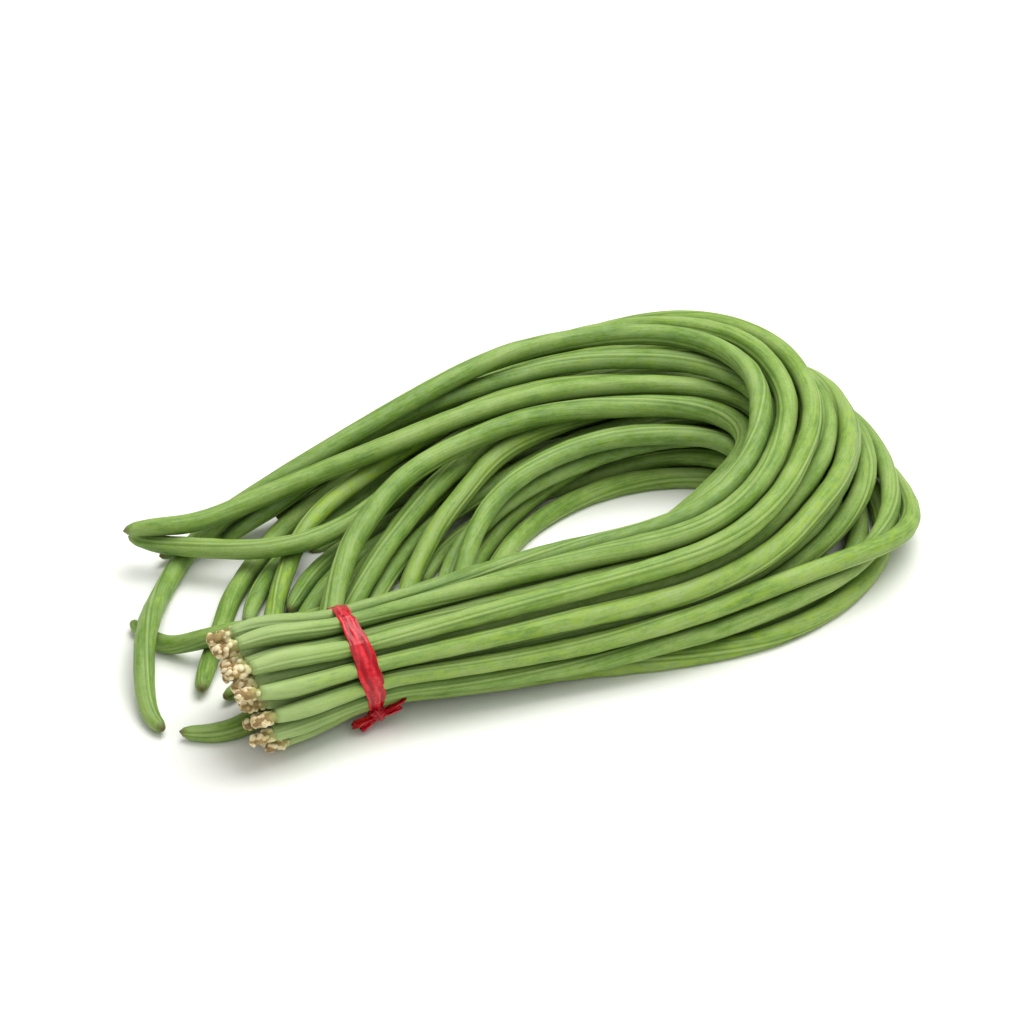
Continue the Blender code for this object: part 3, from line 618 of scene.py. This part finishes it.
def ribbon_end(tie, middle, offsets, width, rng):
    """Corners, faces and crease heights of one frayed strip of ribbon that leaves the knot."""
    level_front = np.array((tie.front[0], tie.front[1], 0.0))
    basis = np.array((tie.axis, level_front, (0.0, 0.0, 1.0)))
    points = middle + (np.array(offsets) * MM) @ basis
    share = np.linspace(0, 1, END_STEPS)
    marks = np.linspace(0, 1, len(points))
    bend = [np.polyfit(marks, points[:, axis], 3) for axis in range(3)]
    line = np.stack([np.polyval(fit, share) for fit in bend], axis=1)
    ahead, side, up = turning_frames(line)
    narrowing = np.clip((END_POINT - share) / END_NARROWING, END_LEAST, 1.0)
    half = width * MM / 2 * (END_START + END_WIDENING * np.sqrt(share)) * narrowing
    across = np.linspace(-1, 1, END_ROWS)
    phase = rng.uniform(0, 2 * math.pi, 2)
    broad = END_CREASES[0] * across[None, :] + END_SLANTS[0] * share[:, None] + phase[0]
    fine = END_CREASES[1] * across[None, :] - END_SLANTS[1] * share[:, None] + phase[1]
    crease = crossed_waves(broad, fine)
    tooth = FRAY_LENGTH * np.sin(FRAY_TEETH * across + phase[1]) * (share[:, None] > FRAY_START)
    sheet = (line[:, None] + (half[:, None] * across)[..., None] * side[:, None]
             + (END_RUMPLE * crease)[..., None] * up[:, None] + tooth[..., None] * ahead[:, None])
    top = sheet + up[:, None] * RIBBON_THICKNESS / 2
    under = sheet - up[:, None] * RIBBON_THICKNESS / 2
    rings = np.concatenate((top, under[:, ::-1]), axis=1)
    parts = tube_parts(rings, rings[0].mean(axis=0), rings[-1].mean(axis=0))
    creases = np.concatenate((crease, crease[:, ::-1]), axis=1)
    return parts, np.concatenate((creases.ravel(), [0.0, 0.0]))


def make_tie(stem_lines, material):
    """The ribbon's turn, knot and ends as one piece, in place of the plain tie."""
    rng = np.random.default_rng(TIE_SEED)
    tie = TieFrame(stem_lines)
    reach = stem_outline(tie, stem_lines, 0.0, np.array([KNOT_ANGLE]))[0] + KNOT_REACH
    knot = tie.place(np.array(KNOT_ANGLE), reach, 0.0)
    parts = [(ribbon_turn(tie, stem_lines, rng), 0.0), (knot_lump(tie, knot), 1.0),
             (knot_waist(tie, knot), 1.0)]
    parts += [(ribbon_end(tie, knot, offsets, width, rng), 0.0) for offsets, width in RIBBON_ENDS]
    corners, faces, creases, knotted = [], [], [], []
    for ((spots, own_faces), heights), in_knot in parts:
        first = sum(len(group) for group in corners)
        corners.append(spots)
        faces += [[corner + first for corner in face] for face in own_faces]
        creases.append(heights)
        knotted.append(np.full(len(spots), in_knot))
    mesh = smooth_mesh("tie_ribbon", np.vstack(corners), faces)
    # The crease heights also give the film its painted highlight on the crests and painted shade in
    # the hollows
    put_attribute(mesh, "crease", np.concatenate(creases))
    put_attribute(mesh, "knotted", np.concatenate(knotted))
    place_piece("tie_ribbon", mesh, material, "tie")


# Materials

class Nodes:
    """A material's node tree, with short ways to add and join nodes."""

    def __init__(self, name):
        self.material = bpy.data.materials.new(name)
        self.material.use_nodes = True
        self.tree = self.material.node_tree
        self.surface = self.tree.nodes["Principled BSDF"]

    def feed(self, socket, value):
        """Gives an input a fixed value, or what another node puts out."""
        if isinstance(value, bpy.types.NodeSocket):
            self.tree.links.new(value, socket)
        else:
            socket.default_value = value

    def attribute(self, name, output="Fac"):
        """What the mesh holds under a name, one number or, as Vector, a triple."""
        node = self.tree.nodes.new("ShaderNodeAttribute")
        node.attribute_name = name
        return node.outputs[output]

    def object_place(self):
        """Each spot's place in the piece, in metres."""
        return self.tree.nodes.new("ShaderNodeTexCoord").outputs["Object"]

    def stretch(self, vector, scale):
        """A place with each of its three numbers scaled."""
        node = self.tree.nodes.new("ShaderNodeVectorMath")
        node.operation = "MULTIPLY"
        self.feed(node.inputs[0], vector)
        self.feed(node.inputs[1], scale)
        return node.outputs[0]

    def noise(self, vector, scale, detail, rough):
        """Soft random patches, from 0 to 1."""
        node = self.tree.nodes.new("ShaderNodeTexNoise")
        self.feed(node.inputs["Vector"], vector)
        self.feed(node.inputs["Scale"], scale)
        self.feed(node.inputs["Detail"], detail)
        self.feed(node.inputs["Roughness"], rough)
        return node.outputs["Fac"]

    def math(self, operation, first, second):
        """A sum or product of two numbers."""
        node = self.tree.nodes.new("ShaderNodeMath")
        node.operation = operation
        self.feed(node.inputs[0], first)
        self.feed(node.inputs[1], second)
        return node.outputs[0]

    def span(self, value, low, high, to_low=0.0, to_high=1.0):
        """A number carried from one range over to another, and held at its ends."""
        node = self.tree.nodes.new("ShaderNodeMapRange")
        for index, number in enumerate((value, low, high, to_low, to_high)):
            self.feed(node.inputs[index], number)
        return node.outputs[0]

    def mix(self, share, first, second):
        """Two colours mixed; a Mix node's colours are its inputs 6 and 7 and its output 2."""
        node = self.tree.nodes.new("ShaderNodeMix")
        node.data_type = "RGBA"
        self.feed(node.inputs[0], share)
        self.feed(node.inputs[6], first)
        self.feed(node.inputs[7], second)
        return node.outputs[2]

    def ramp(self, value, stops):
        """A colour picked by a number among stops of a place and a colour."""
        node = self.tree.nodes.new("ShaderNodeValToRGB")
        self.feed(node.inputs[0], value)
        elements = node.color_ramp.elements
        while len(elements) < len(stops):
            elements.new(0.5)
        for element, (place, colour) in zip(elements, stops):
            element.position = place
            element.color = colour
        return node.outputs[0]

    def bump(self, height, strength, distance, under=None):
        """A surface tilted by a height's slopes, on top of the bumps under it."""
        node = self.tree.nodes.new("ShaderNodeBump")
        self.feed(node.inputs["Height"], height)
        node.inputs["Strength"].default_value = strength
        node.inputs["Distance"].default_value = distance
        if under is not None:
            self.feed(node.inputs["Normal"], under)
        return node.outputs[0]


def rgb(red, green, blue):
    """A colour from its three linear shares."""
    return (red, green, blue, 1.0)


def pod_material():
    """Satin green skin with lengthwise fibres, cloudy patches, a fine grain, fine seam lines and
    painted shade where other pods lie close.
    """
    n = Nodes("pod_skin")
    place = n.attribute("pod_place", "Vector")
    tone = n.attribute("tone")
    fibres = n.noise(n.stretch(place, (1.0, 1.0, 0.035)), 1.5, 4.0, 0.62)
    clouds = n.noise(n.stretch(place, (1.0, 1.0, 0.30)), 0.15, 3.0, 0.55)
    patches = n.noise(n.stretch(place, (1.0, 1.0, 0.40)), 0.55, 2.0, 0.5)
    grain = n.noise(n.stretch(place, (1.0, 1.0, 0.50)), 3.6, 3.0, 0.65)
    mottle = n.noise(n.stretch(place, (1.0, 1.0, 0.45)), 1.05, 4.0, 0.65)
    mixed = n.math("ADD", n.math("MULTIPLY", fibres, 0.50), n.math("MULTIPLY", clouds, 0.50))
    mixed = n.math("ADD", mixed, n.span(tone, 0.0, 1.0, -0.050, 0.040))
    mixed = n.math("ADD", mixed, n.span(mottle, 0.3, 0.7, -0.055, 0.055))
    green = n.ramp(mixed, (
        (0.36, rgb(0.075, 0.170, 0.012)),
        (0.46, rgb(0.148, 0.268, 0.034)),
        (0.54, rgb(0.212, 0.335, 0.064)),
        (0.66, rgb(0.285, 0.395, 0.125)),
    ))
    lime = n.math("MULTIPLY", n.span(patches, 0.44, 0.62), n.span(tone, 0.45, 1.0, 0.10, 0.75))
    green = n.mix(lime, green, rgb(0.255, 0.390, 0.022))
    grey = n.math("MULTIPLY", n.span(patches, 0.60, 0.42), n.span(tone, 0.0, 0.55, 0.60, 0.10))
    green = n.mix(grey, green, rgb(0.215, 0.335, 0.120))
    bloom = n.math("MULTIPLY", n.span(grain, 0.40, 0.72), n.span(clouds, 0.40, 0.62, 0.15, 0.50))
    green = n.mix(bloom, green, rgb(0.355, 0.445, 0.165))
    green = n.mix(n.math("MULTIPLY", n.attribute("swell"), 0.12), green, rgb(0.340, 0.480, 0.110))
    green = n.mix(n.math("MULTIPLY", n.attribute("groove"), 0.55), green, rgb(0.060, 0.140, 0.010))
    green = n.mix(n.math("MULTIPLY", n.attribute("seam"), 0.40), green, rgb(0.380, 0.500, 0.160))
    green = n.mix(n.math("MULTIPLY", n.attribute("stem"), 0.65), green, rgb(0.400, 0.510, 0.215))
    green = n.mix(n.attribute("nib"), green, rgb(0.120, 0.085, 0.030))
    # Painted shade: deep green where other pods lie close, in place of the shade in the gaps between
    # them; the same mask also makes the skin rougher there
    painted_gap_shade = n.math("MULTIPLY", n.attribute("crowd"), 0.95)
    green = n.mix(painted_gap_shade, green, rgb(0.007, 0.042, 0.0))
    n.feed(n.surface.inputs["Base Color"], green)
    rough = n.math("ADD", n.span(grain, 0.3, 0.7, 0.58, 0.44), n.math("MULTIPLY", painted_gap_shade, 0.35))
    n.feed(n.surface.inputs["Roughness"], rough)
    n.surface.inputs["Specular IOR Level"].default_value = 0.28
    n.surface.inputs["Subsurface Weight"].default_value = 0.10
    n.surface.inputs["Subsurface Radius"].default_value = (0.5, 1.0, 0.15)
    n.surface.inputs["Subsurface Scale"].default_value = 1.0 * MM
    long_bumps = n.bump(fibres, 0.5, 0.30 * MM)
    n.feed(n.surface.inputs["Normal"], n.bump(grain, 0.35, 0.12 * MM, long_bumps))
    return n.material


def stalk_material():
    """Dried stalk: pale tan knobs with painted shade turning brown in the creases between them,
    greenish near the pod.
    """
    n = Nodes("stalk_skin")
    place = n.object_place()
    grain = n.noise(place, 1400.0, 3.0, 0.6)
    blotch = n.noise(place, 420.0, 2.0, 0.5)
    height = n.math("ADD", n.attribute("knob"), n.span(grain, 0.3, 0.7, -0.10, 0.10))
    # Painted shade: the lower the skin lies between the knobs, the darker brown it is; the knobs'
    # tops keep the dried stalk's pale tan
    tan = n.ramp(height, (
        (0.03, rgb(0.250, 0.165, 0.070)),
        (0.20, rgb(0.500, 0.375, 0.185)),
        (0.42, rgb(0.690, 0.565, 0.330)),
        (0.80, rgb(0.810, 0.715, 0.475)),
    ))
    tan = n.mix(n.span(blotch, 0.50, 0.68, 0.0, 0.55), tan, rgb(0.50, 0.40, 0.13))
    near_pod = n.span(n.attribute("along"), 0.10, 0.50, 0.75, 0.0)
    tan = n.mix(near_pod, tan, rgb(0.40, 0.46, 0.16))
    n.feed(n.surface.inputs["Base Color"], tan)
    n.surface.inputs["Roughness"].default_value = 0.82
    n.surface.inputs["Specular IOR Level"].default_value = 0.2
    n.feed(n.surface.inputs["Normal"], n.bump(grain, 0.5, 0.15 * MM))
    return n.material


def tie_material():
    """Glossy red film, with painted highlight making it pinker on its crease crests and painted shade
    making it darker in their hollows, and darker in the knot.
    """
    n = Nodes("tie_film")
    crease = n.attribute("crease")
    streak = n.noise(n.object_place(), 700.0, 3.0, 0.6)
    height = n.math("ADD", n.span(crease, -1.0, 1.0), n.span(streak, 0.3, 0.7, -0.25, 0.25))
    # Painted highlight and shade: the film is pinker the higher a crease rises and darker red the
    # deeper it falls, with random streaks over it
    red = n.ramp(height, (
        (0.10, rgb(0.270, 0.001, 0.005)),
        (0.50, rgb(0.460, 0.002, 0.010)),
        (0.95, rgb(0.660, 0.026, 0.040)),
    ))
    red = n.mix(n.math("MULTIPLY", n.attribute("knotted"), 0.6), red, rgb(0.26, 0.003, 0.012))
    n.feed(n.surface.inputs["Base Color"], red)
    n.surface.inputs["Roughness"].default_value = 0.26
    n.surface.inputs["Specular IOR Level"].default_value = 0.30
    n.surface.inputs["Coat Weight"].default_value = 0.15
    n.surface.inputs["Coat Roughness"].default_value = 0.12
    n.feed(n.surface.inputs["Normal"], n.bump(streak, 0.3, 0.2 * MM))
    return n.material


# Stage

def make_floor():
    """The plain pale surface that the bunch lies on."""
    mesh = bpy.data.meshes.new("floor")
    corners = [(x * FLOOR_HALF, y * FLOOR_HALF, 0) for x, y in ((-1, -1), (1, -1), (1, 1), (-1, 1))]
    mesh.from_pydata(corners, [], [(0, 1, 2, 3)])
    floor = bpy.data.objects.new("floor", mesh)
    n = Nodes("floor")
    n.surface.inputs["Base Color"].default_value = rgb(0.86, 0.865, 0.82)
    n.surface.inputs["Roughness"].default_value = 0.9
    n.surface.inputs["Specular IOR Level"].default_value = 0.1
    mesh.materials.append(n.material)
    bpy.context.scene.collection.objects.link(floor)


def soft_light(name, place, size, power):
    """A square area light that faces the bunch."""
    data = bpy.data.lights.new(name, "AREA")
    data.size = size
    data.energy = power
    light = bpy.data.objects.new(name, data)
    light.location = place
    light.rotation_mode = "QUATERNION"
    light.rotation_quaternion = (-Vector(place)).to_track_quat("-Z", "Y")
    bpy.context.scene.collection.objects.link(light)


def make_lights():
    """A soft key light high on the right, a weaker one from the front, and an even glow all round."""
    soft_light("key", *KEY_LIGHT)
    soft_light("front", *FRONT_LIGHT)
    world = bpy.data.worlds.new("studio")
    bpy.context.scene.world = world
    world.use_nodes = True
    world.node_tree.nodes["Background"].inputs["Color"].default_value = rgb(1.0, 1.0, 1.0)
    world.node_tree.nodes["Background"].inputs["Strength"].default_value = GLOW


def make_camera():
    """The camera, at the photograph's viewing angle."""
    data = bpy.data.cameras.new("camera")
    data.lens = LENS
    data.sensor_width = SENSOR
    camera = bpy.data.objects.new("camera", data)
    back = Vector((math.sin(AZIMUTH) * math.cos(ELEVATION), -math.cos(AZIMUTH) * math.cos(ELEVATION),
                   math.sin(ELEVATION)))
    camera.location = AIM + back * DISTANCE
    camera.rotation_mode = "QUATERNION"
    camera.rotation_quaternion = (-back).to_track_quat("-Z", "Y")
    bpy.context.scene.collection.objects.link(camera)
    bpy.context.scene.camera = camera
    bpy.context.scene.view_settings.view_transform = "Standard"


pod_count = sum(name.startswith("pod_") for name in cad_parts)
pod_skin = pod_material()
stalk_skin = stalk_material()
noise.seed_set(GRAIN_SEED)
lines = {}
for number in range(1, pod_count + 1):
    lines[number] = pod_line(number, np.random.default_rng(LINE_SEED + number))
for number in lines:
    make_pod(number, lines, pod_skin)
    make_stalk(number, lines[number][1][0], stalk_skin)
make_tie([(line, girth) for _, line, girth in lines.values()], tie_material())
make_floor()
make_lights()
make_camera()
